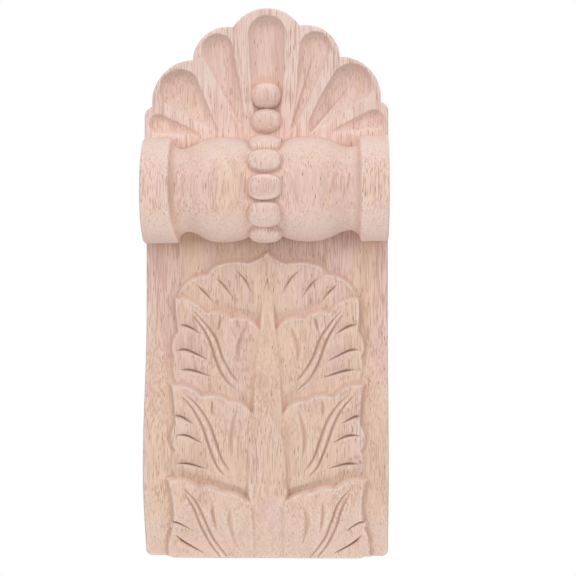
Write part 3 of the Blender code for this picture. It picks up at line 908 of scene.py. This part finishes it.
vertices = np.zeros(len(corbel.data.vertices) * 3, np.float32)
corbel.data.vertices.foreach_get("co", vertices)
vertices = vertices.reshape(-1, 3).astype(float) / MM
carved = (vertices[:, 2] < ROLL_Z - BULGE_RADIUS) & (vertices[:, 1] < -TOE_DEPTH)
cut_shade_values = np.zeros(len(vertices), np.float32)
_, cut_shade_values[carved] = panel_relief(vertices[carved, 0], vertices[carved, 2])
attribute = corbel.data.attributes.new("painted_cut_shade", "FLOAT", "POINT")
attribute.data.foreach_set("value", cut_shade_values)
print("marked vertices:", int((cut_shade_values > WELL_SHADED_CUT).sum()))

# %% [markdown]
# The wood
#
# Rubberwood is pale, between straw and pink, with fibres that run up the block. Three things
# make it read as wood: broad soft patches and growth rings in the colour, fine streaks along
# the fibres, and open pores, which look like short dashes where the surface runs with the
# fibres and like dots where it cuts across them. Every pattern here is solid, worked out from
# the place in the block and stretched along z, so dashes turn to dots by themselves on the top
# and the underside of the roll. There the wood is also finely speckled, and paler, partly as
# end grain is and partly as a painted sheen. Ridges get a painted highlight, hollows and the
# tools' cuts get painted shade, and the flat back keeps faint marks of the saw. A picture of
# wood wrapped round the block would smear on the roll and the sides, so the patterns are noise
# and cells in node groups, each built once and placed with its own sizes, in metres.


# %% Node helpers
def node(tree, kind, inputs=None, **settings):
    """A new node with its settings and its inputs, each a value or another node's output."""
    made = tree.nodes.new(kind)
    for name, value in settings.items():
        setattr(made, name, value)
    for name, value in (inputs or {}).items():
        if isinstance(value, bpy.types.NodeSocket):
            tree.links.new(value, made.inputs[name])
        else:
            made.inputs[name].default_value = value
    return made


def maths(tree, operation, first, second=0.0, third=0.0):
    """Output of a maths node."""
    made = node(tree, "ShaderNodeMath", {0: first, 1: second, 2: third}, operation=operation)
    return made.outputs[0]


def blend(tree, share, first, second):
    """Output of a colour mix of the first into the second."""
    mixed = node(tree, "ShaderNodeMix", {"Factor": share, 6: first, 7: second}, data_type="RGBA")
    return mixed.outputs[2]


def ramp(tree, value, low, high, to_low=0.0, to_high=1.0):
    """Output of a smooth step of a value from one range to another."""
    ranged = node(tree, "ShaderNodeMapRange", {0: value, 1: low, 2: high, 3: to_low, 4: to_high},
                  interpolation_type="SMOOTHSTEP")
    return ranged.outputs[0]


def new_group(name, inputs, outputs):
    """An empty node group with its inputs and number outputs, and the sockets inside it."""
    group = bpy.data.node_groups.new(name, "ShaderNodeTree")
    for label, kind, value in inputs:
        socket = group.interface.new_socket(label, in_out="INPUT", socket_type=kind)
        if value is not None:
            socket.default_value = value
    for label in outputs:
        group.interface.new_socket(label, in_out="OUTPUT", socket_type="NodeSocketFloat")
    given = group.nodes.new("NodeGroupInput").outputs
    wanted = group.nodes.new("NodeGroupOutput").inputs
    return group, given, wanted


def stretched(tree, vector, width, length):
    """A place measured in grains of the given width and length."""
    size = node(tree, "ShaderNodeCombineXYZ", {0: width, 1: width, 2: length})
    grains = node(tree, "ShaderNodeVectorMath", {0: vector, 1: size.outputs[0]}, operation="DIVIDE")
    return grains.outputs[0]


# %% Fibres: noise drawn out along the block
fibres, given, wanted = new_group("fibres", (
    ("Vector", "NodeSocketVector", None),
    ("Width", "NodeSocketFloat", 0.0005),
    ("Length", "NodeSocketFloat", 0.02),
    ("Detail", "NodeSocketFloat", 2.0),
), ("Value",))
noise = node(fibres, "ShaderNodeTexNoise", {
    "Vector": stretched(fibres, given["Vector"], given["Width"], given["Length"]),
    "Scale": 1.0,
    "Detail": given["Detail"],
    "Roughness": 0.6,
})
fibres.links.new(noise.outputs[0], wanted["Value"])

# %% Pores: short tubes along the fibres
PORE_CORE = 0.45  # share of a pore's radius that is fully dark
FAINTEST_PORE = 0.4
PORE_STRENGTH_RANGE = 0.6

pores, given, wanted = new_group("pores", (
    ("Vector", "NodeSocketVector", None),
    ("Spacing", "NodeSocketFloat", 0.0012),
    ("Length", "NodeSocketFloat", 0.006),
    ("Size", "NodeSocketFloat", 0.22),
    ("Share", "NodeSocketFloat", 0.6),
), ("Mask",))
cells = node(pores, "ShaderNodeTexVoronoi", {
    "Vector": stretched(pores, given["Vector"], given["Spacing"], given["Length"]),
    "Scale": 1.0,
    "Randomness": 1.0,
})
chance = node(pores, "ShaderNodeSeparateColor", {"Color": cells.outputs["Color"]})
core = maths(pores, "MULTIPLY", given["Size"], PORE_CORE)
tube = ramp(pores, cells.outputs["Distance"], given["Size"], core)
kept = maths(pores, "LESS_THAN", chance.outputs[0], given["Share"])
strength = maths(pores, "MULTIPLY_ADD", chance.outputs[1], PORE_STRENGTH_RANGE, FAINTEST_PORE)
kept_tube = maths(pores, "MULTIPLY", tube, kept)
pores.links.new(maths(pores, "MULTIPLY", kept_tube, strength), wanted["Mask"])

# %% Growth rings: uneven shells round the heart of the tree
SWING_WIDTH = 0.045  # the rings swing in and out over this width, and this length up the block
SWING_LENGTH = 0.11

rings, given, wanted = new_group("growth_rings", (
    ("Vector", "NodeSocketVector", None),
    ("Heart X", "NodeSocketFloat", 0.0),
    ("Heart Y", "NodeSocketFloat", 0.06),
    ("Ring Width", "NodeSocketFloat", 0.006),
    ("Wobble", "NodeSocketFloat", 0.006),
), ("Value",))
heart = node(rings, "ShaderNodeCombineXYZ", {0: given["Heart X"], 1: given["Heart Y"], 2: 0.0})
from_heart = node(rings, "ShaderNodeVectorMath", {0: given["Vector"], 1: heart.outputs[0]},
                  operation="SUBTRACT")
flat = node(rings, "ShaderNodeVectorMath", {0: from_heart.outputs[0], 1: (1.0, 1.0, 0.0)},
            operation="MULTIPLY")
reach = node(rings, "ShaderNodeVectorMath", {0: flat.outputs[0]}, operation="LENGTH")
swing = node(rings, "ShaderNodeTexNoise", {
    "Vector": stretched(rings, given["Vector"], SWING_WIDTH, SWING_LENGTH),
    "Scale": 1.0,
    "Detail": 1.5,
})
swung = maths(rings, "MULTIPLY_ADD", swing.outputs[0], given["Wobble"], reach.outputs["Value"])
ring_count = maths(rings, "DIVIDE", swung, given["Ring Width"])
ring_place = node(rings, "ShaderNodeCombineXYZ", {0: ring_count}).outputs[0]
ring = node(rings, "ShaderNodeTexNoise", {"Vector": ring_place, "Scale": 1.0, "Detail": 2.5})
rings.links.new(ring.outputs[0], wanted["Value"])
print("node groups:", [group.name for group in bpy.data.node_groups])

# %% Rubberwood
STRAW = (0.820, 0.615, 0.485, 1)
PINK = (0.815, 0.605, 0.542, 1)
END_GRAIN_AND_SHEEN_SHADE = (0.800, 0.650, 0.590, 1)
RING_SHADE = (0.680, 0.430, 0.330, 1)
STREAK_SHADE = (0.560, 0.325, 0.245, 1)
PORE_SHADE = (0.280, 0.145, 0.095, 1)
# The next three are painted light and shade: shade in the cuts and the hollows, a highlight on the
# ridges.
CUT_PAINTED_SHADE = (0.270, 0.140, 0.090, 1)
HOLLOW_PAINTED_SHADE = (0.560, 0.340, 0.255, 1)
RIDGE_PAINTED_HIGHLIGHT = (0.880, 0.715, 0.645, 1)
SAW_SHADE = (0.640, 0.460, 0.360, 1)
PINKER_UPWARDS = 1.6  # what a metre up the block adds to the patches' value
GRAIN_DEPTH_SHARE = 0.45  # how fast the grain changes going into the block, over going across it
SIDE_FACING = (0.6, 0.9)  # from a front to a side, as the x part of the normal
ACROSS_FACING = (0.25, 0.85)  # from cut along the fibres to cut across them, as the z part


def grouped(tree, group, inputs):
    """A node group placed in a material with its own values."""
    made = tree.nodes.new("ShaderNodeGroup")
    made.node_tree = group
    for name, value in inputs.items():
        if isinstance(value, bpy.types.NodeSocket):
            tree.links.new(value, made.inputs[name])
        else:
            made.inputs[name].default_value = value
    return made.outputs[0]


wood = bpy.data.materials.new("bare_rubberwood")
wood.use_nodes = True
tree = wood.node_tree
shader = tree.nodes["Principled BSDF"]
coordinates = node(tree, "ShaderNodeTexCoord").outputs
spot = coordinates["Object"]
facing = node(tree, "ShaderNodeSeparateXYZ", {0: coordinates["Normal"]}).outputs
steep = maths(tree, "ABSOLUTE", facing[2])  # 1 where the wood faces straight up or down
sideways = maths(tree, "ABSOLUTE", facing[0])
depth_share = ramp(tree, sideways, *SIDE_FACING, GRAIN_DEPTH_SHARE, 1.0)
grain_scale = node(tree, "ShaderNodeCombineXYZ", {0: 1.0, 1: depth_share, 2: 1.0})
grain_spot = node(tree, "ShaderNodeVectorMath", {0: spot, 1: grain_scale.outputs[0]},
                  operation="MULTIPLY").outputs[0]
across = ramp(tree, steep, *ACROSS_FACING)

# %% Broad colours: patches, growth rings and bands
PINK_RANGE = (0.36, 0.64)
RING_RANGE = (0.48, 0.72)
RING_STRENGTH = 0.32
BAND_RANGE = (0.48, 0.75)
BAND_STRENGTH = 0.25
END_GRAIN_AND_SHEEN_STRENGTH = 0.7

patches = grouped(tree, fibres, {"Vector": spot, "Width": 0.013, "Length": 0.065, "Detail": 1.0})
height = node(tree, "ShaderNodeSeparateXYZ", {0: spot}).outputs[2]
pinkness = maths(tree, "MULTIPLY_ADD", height, PINKER_UPWARDS, patches)
colour = blend(tree, ramp(tree, pinkness, *PINK_RANGE), STRAW, PINK)
ring_value = grouped(tree, rings, {
    "Vector": spot, "Heart X": 0.03, "Heart Y": 0.045, "Ring Width": 0.0048, "Wobble": 0.02})
ring_share = ramp(tree, ring_value, *RING_RANGE, 0.0, RING_STRENGTH)
colour = blend(tree, ring_share, colour, RING_SHADE)
bands = grouped(tree, fibres, {"Vector": spot, "Width": 0.0038, "Length": 0.06, "Detail": 1.0})
band_share = ramp(tree, bands, *BAND_RANGE, 0.0, BAND_STRENGTH)
colour = blend(tree, band_share, colour, STREAK_SHADE)
# Paler where the wood faces up or down: partly the end grain's own tone, partly a painted sheen.
colour = blend(tree, maths(tree, "MULTIPLY", across, END_GRAIN_AND_SHEEN_STRENGTH), colour, END_GRAIN_AND_SHEEN_SHADE)

# %% Painted shade in the hollows, painted highlight on the ridges
HOLLOW_SHADE_RANGE = (0.06, 0.40)  # millimetres that the even sheet rose in a hollow
HOLLOW_SHADE_STRENGTH = 0.34
RIDGE_HIGHLIGHT_RANGE = (-0.05, -0.28)  # millimetres that it sank on a ridge
RIDGE_HIGHLIGHT_STRENGTH = 0.55

hollow = node(tree, "ShaderNodeAttribute", attribute_name="hollows").outputs["Fac"]
# Painted shade: hollows are darkened where shade would fall in them.
hollow_painted_shade = ramp(tree, hollow, *HOLLOW_SHADE_RANGE, 0.0, HOLLOW_SHADE_STRENGTH)
colour = blend(tree, hollow_painted_shade, colour, HOLLOW_PAINTED_SHADE)
# Painted highlight: ridges are made paler where light would catch them.
ridge_painted_highlight = ramp(tree, hollow, *RIDGE_HIGHLIGHT_RANGE, 0.0, RIDGE_HIGHLIGHT_STRENGTH)
colour = blend(tree, ridge_painted_highlight, colour, RIDGE_PAINTED_HIGHLIGHT)

# %% Fine grain: threads, open pores and speckle
THREAD_FACING = (0.15, 0.80)  # threads fade from here to here as the surface turns up or down
THREADS_ACROSS = 0.25
DENSE_RANGE = (0.35, 0.65)
THREAD_STRENGTHS = (0.3, 0.75)
THREAD_RANGE = (0.49, 0.61)
PORE_FACING = (0.30, 0.85)
PORE_STRENGTHS = (0.85, 0.5)
SPECKLE_FACING = (0.2, 0.6)
SPECKLE_STRENGTH = 0.4
SPECKLE_RANGE = (0.50, 0.68)

denseness = grouped(tree, fibres, {"Vector": spot, "Width": 0.011, "Length": 0.04, "Detail": 1.0})
threads = grouped(tree, fibres, {
    "Vector": grain_spot, "Width": 0.00043, "Length": 0.010, "Detail": 1.0})
thread_strength = ramp(tree, steep, *THREAD_FACING, 1.0, THREADS_ACROSS)
dense_strength = ramp(tree, denseness, *DENSE_RANGE, *THREAD_STRENGTHS)
thread_share = maths(tree, "MULTIPLY", dense_strength, thread_strength)
thread_share = maths(tree, "MULTIPLY", ramp(tree, threads, *THREAD_RANGE), thread_share)
colour = blend(tree, thread_share, colour, STREAK_SHADE)
short_pores = grouped(tree, pores, {
    "Vector": grain_spot, "Spacing": 0.00085, "Length": 0.0075, "Size": 0.23, "Share": 0.65})
long_pores = grouped(tree, pores, {
    "Vector": grain_spot, "Spacing": 0.0024, "Length": 0.024, "Size": 0.11, "Share": 0.6})
open_pores = maths(tree, "MAXIMUM", short_pores, long_pores)
pore_strength = ramp(tree, steep, *PORE_FACING, *PORE_STRENGTHS)
pore_share = maths(tree, "MULTIPLY", open_pores, pore_strength)
colour = blend(tree, pore_share, colour, PORE_SHADE)
speckle = grouped(tree, fibres, {"Vector": spot, "Width": 0.00042, "Length": 0.003, "Detail": 1.0})
speckle_strength = ramp(tree, steep, *SPECKLE_FACING, 0.0, SPECKLE_STRENGTH)
speckle_share = maths(tree, "MULTIPLY", ramp(tree, speckle, *SPECKLE_RANGE), speckle_strength)
colour = blend(tree, speckle_share, colour, STREAK_SHADE)

# %% Painted shade in the cuts, and marks of the saw
CUT_SHADE_RANGE = (0.15, 1.0)
CUT_SHADE_STRENGTH = 0.43
BACK_FACING = (0.75, 0.95)  # the y part of the normal, so only the back has saw marks
SAW_RANGE = (0.42, 0.70)
SAW_STRENGTH = 0.4

cut_shade = node(tree, "ShaderNodeAttribute", attribute_name="painted_cut_shade").outputs["Fac"]
# Painted shade in the leaves' cuts and grooves, where shade falls in them.
cut_shade_share = ramp(tree, cut_shade, *CUT_SHADE_RANGE, 0.0, CUT_SHADE_STRENGTH)
colour = blend(tree, cut_shade_share, colour, CUT_PAINTED_SHADE)
sawn = ramp(tree, facing[1], *BACK_FACING)
saw_lines = grouped(tree, fibres, {"Vector": spot, "Width": 0.3, "Length": 0.0016, "Detail": 2.0})
saw_marks = maths(tree, "MULTIPLY", ramp(tree, saw_lines, *SAW_RANGE), sawn)
colour = blend(tree, maths(tree, "MULTIPLY", saw_marks, SAW_STRENGTH), colour, SAW_SHADE)
tree.links.new(colour, shader.inputs["Base Color"])

# %% Sheen and fine relief of the wood
PLAIN_ROUGHNESS = 0.60
THREAD_ROUGHNESS = 0.16  # each of these three adds to the plain roughness
SAW_ROUGHNESS = 0.1
PORE_ROUGHNESS = 0.15
THREAD_HEIGHT = 0.5  # heights over the plain wood, in relief depths
PORE_HEIGHT = -1.0
SAW_HEIGHT = -1.2
RELIEF_DEPTH = 0.00018

dull = maths(tree, "MULTIPLY_ADD", threads, THREAD_ROUGHNESS, PLAIN_ROUGHNESS)
dull = maths(tree, "MULTIPLY_ADD", saw_marks, SAW_ROUGHNESS, dull)
dull = maths(tree, "MULTIPLY_ADD", open_pores, PORE_ROUGHNESS, dull)
tree.links.new(dull, shader.inputs["Roughness"])
shader.inputs["Specular IOR Level"].default_value = 0.35

raised = maths(tree, "MULTIPLY", open_pores, PORE_HEIGHT)
raised = maths(tree, "MULTIPLY_ADD", threads, THREAD_HEIGHT, raised)
raised = maths(tree, "MULTIPLY_ADD", saw_marks, SAW_HEIGHT, raised)
bump = node(tree, "ShaderNodeBump", {"Height": raised, "Strength": 0.5, "Distance": RELIEF_DEPTH})
tree.links.new(bump.outputs[0], shader.inputs["Normal"])

corbel.data.materials.clear()
corbel.data.materials.append(wood)
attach(corbel, "root")
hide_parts("carved_corbel")
print("material nodes:", len(tree.nodes))

# %% [markdown]
# Camera and studio
#
# The photograph was taken from about 84 cm away, level with the middle of the corbel and a
# little to its right, with a long lens, so the near roll looks slightly wider than the panel
# behind it. Soft boxes of one size stand all round at one distance. The key box is above the
# camera, one overhead brightens what faces up, and a stronger one below does the same for what
# faces down. One at each side and a weak one in front open the shade, and two behind light the
# sides and the back. The room is white to the camera, and the floor lies well below.

# %% Camera
PHOTO_PIXELS = 576
PIXEL_MM = 0.455  # size of a photo pixel on the panel's face
CAMERA_DISTANCE = 842.0
CAMERA_X = 32.8
CAMERA_Z = -1.7
AIM_X = 9.6
SENSOR = 36.0

camera_data = bpy.data.cameras.new("camera")
camera_data.sensor_width = SENSOR
camera_data.lens = SENSOR * CAMERA_DISTANCE / (PIXEL_MM * PHOTO_PIXELS)
camera = bpy.data.objects.new("camera", camera_data)
bpy.context.collection.objects.link(camera)
camera.location = Vector((CAMERA_X, -(CAMERA_DISTANCE + NECK_DEPTH), CAMERA_Z)) * MM
aim = Vector((AIM_X, -NECK_DEPTH, CAMERA_Z)) * MM
camera.rotation_euler = (aim - camera.location).to_track_quat("-Z", "Y").to_euler()
bpy.context.scene.camera = camera
print("lens", round(camera_data.lens, 1), "mm")

# %% Studio
BOX_DISTANCE = 1.0
BOX_WIDTH = 0.8
BOX_HEIGHT = 0.5
ROOM_LIGHT = 0.12
ROOM_COLOUR = (1.0, 0.87, 0.78, 1)
FLOOR_DROP = 1.3
FLOOR_SIZE = 9.0
FLOOR_GLOW = 0.9  # lifts the unlit floor nearly to white, for the camera only
FLOOR_PAINT = (0.86, 0.86, 0.86, 1)
WHITE = (1, 1, 1, 1)

bpy.context.scene.view_settings.view_transform = "Standard"
bpy.context.scene.view_settings.look = "None"


def soft_box(name, round_degrees, up_degrees, watts):
    """A rectangular light that faces the corbel, so many degrees round to its right and up."""
    data = bpy.data.lights.new(name, "AREA")
    data.shape = "RECTANGLE"
    data.size = BOX_WIDTH
    data.size_y = BOX_HEIGHT
    data.energy = watts
    lamp = bpy.data.objects.new(name, data)
    bpy.context.collection.objects.link(lamp)
    aside = math.radians(round_degrees)
    above = math.radians(up_degrees)
    lamp.location = (BOX_DISTANCE * math.sin(aside) * math.cos(above),
                     -BOX_DISTANCE * math.cos(aside) * math.cos(above),
                     BOX_DISTANCE * math.sin(above))
    lamp.rotation_euler = (-lamp.location).to_track_quat("-Z", "Y").to_euler()


soft_box("over_box", 0, 85, 2.8)
soft_box("key_box", -5, 40, 3.6)
soft_box("left_box", -50, 10, 2.8)
soft_box("right_box", 50, 8, 2.8)
soft_box("front_box", 5, 0, 1.65)
soft_box("under_box", 0, -80, 5.2)
soft_box("back_left_box", -130, 20, 6.0)
soft_box("back_right_box", 130, 20, 6.0)

world = bpy.data.worlds.new("white_room")
bpy.context.scene.world = world
world.use_nodes = True
nodes = world.node_tree.nodes
background = nodes["Background"]
background.inputs["Color"].default_value = ROOM_COLOUR
background.inputs["Strength"].default_value = ROOM_LIGHT
seen = nodes.new("ShaderNodeBackground")
seen.inputs["Color"].default_value = WHITE
seen.inputs["Strength"].default_value = 1.0
rays = nodes.new("ShaderNodeLightPath")
mix = nodes.new("ShaderNodeMixShader")
links = world.node_tree.links
links.new(rays.outputs["Is Camera Ray"], mix.inputs["Fac"])
links.new(background.outputs["Background"], mix.inputs[1])
links.new(seen.outputs["Background"], mix.inputs[2])
links.new(mix.outputs["Shader"], nodes["World Output"].inputs["Surface"])

deselect_all()
bpy.ops.mesh.primitive_plane_add(size=FLOOR_SIZE, location=(0, 0, -FLOOR_DROP))
floor = bpy.context.active_object
floor.name = "floor"
floor_paint = bpy.data.materials.new("pale_floor")
floor_paint.use_nodes = True
floor_shader = floor_paint.node_tree.nodes["Principled BSDF"]
floor_shader.inputs["Base Color"].default_value = FLOOR_PAINT
floor_shader.inputs["Roughness"].default_value = 0.9
floor_shader.inputs["Emission Color"].default_value = WHITE
to_camera = floor_paint.node_tree.nodes.new("ShaderNodeLightPath")
glow = maths(floor_paint.node_tree, "MULTIPLY", to_camera.outputs["Is Camera Ray"], FLOOR_GLOW)
floor_paint.node_tree.links.new(glow, floor_shader.inputs["Emission Strength"])
floor.data.materials.append(floor_paint)
